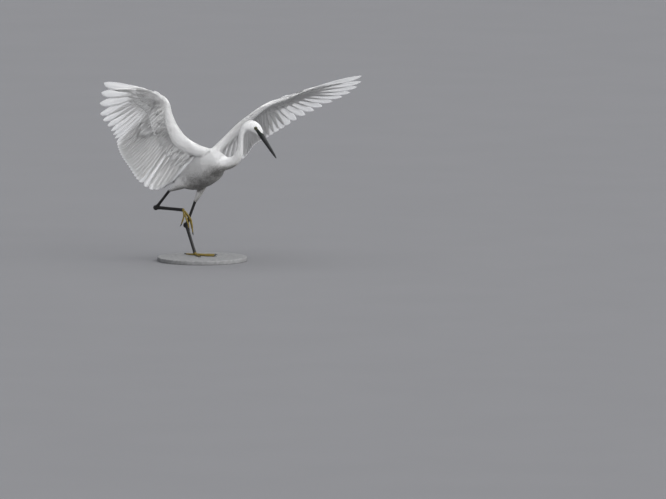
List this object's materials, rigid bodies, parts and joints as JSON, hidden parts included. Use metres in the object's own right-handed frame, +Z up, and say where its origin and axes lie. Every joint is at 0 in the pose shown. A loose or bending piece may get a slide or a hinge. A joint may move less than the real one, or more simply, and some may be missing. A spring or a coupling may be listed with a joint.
{
  "type": "little egret model",
  "caption": "Life-size still model of a little egret standing on one foot with both wings raised, on a plain round base.",
  "frame": {"origin": "centre of the flat underside of the round base", "axes": "+Z up, +X the way the body points, +Y to the bird's left"},
  "size_m": [0.498, 0.736, 0.542],
  "materials": {
    "white_feather": "matte, soft white plumage",
    "bill_horn": "smooth black horn with a blue-grey sheen at the root",
    "claw_horn": "smooth black horn",
    "leg_scale": "black scaled skin, half matte",
    "foot_scale": "greenish yellow scaled skin, half matte",
    "eye_gloss": "clear gloss over a pale yellow iris and a black pupil",
    "base_matte": "matte grey display base"
  },
  "bodies": {
    "root": {"bill_lower": "bill_horn", "bill_upper": "bill_horn", "claw_left_hind": "claw_horn", "claw_left_inner": "claw_horn", "claw_left_middle": "claw_horn", "claw_left_outer": "claw_horn", "claw_right_hind": "claw_horn", "claw_right_inner": "claw_horn", "claw_right_middle": "claw_horn", "claw_right_outer": "claw_horn", "eye_left": "eye_gloss", "eye_right": "eye_gloss", "foot_left": "foot_scale", "foot_right": "foot_scale", "head": "white_feather", "leg_left_tarsus": "leg_scale", "leg_left_thigh": "white_feather", "leg_left_tibia": "leg_scale", "leg_right_tarsus": "leg_scale", "leg_right_thigh": "white_feather", "leg_right_tibia": "leg_scale", "neck_lower": "white_feather", "neck_upper": "white_feather", "stand_base": "base_matte", "tail": "white_feather", "torso": "white_feather", "wing_left_forearm": "white_feather", "wing_left_hand": "white_feather", "wing_left_upper_arm": "white_feather", "wing_right_forearm": "white_feather", "wing_right_hand": "white_feather", "wing_right_upper_arm": "white_feather"}
  },
  "joints": []
}
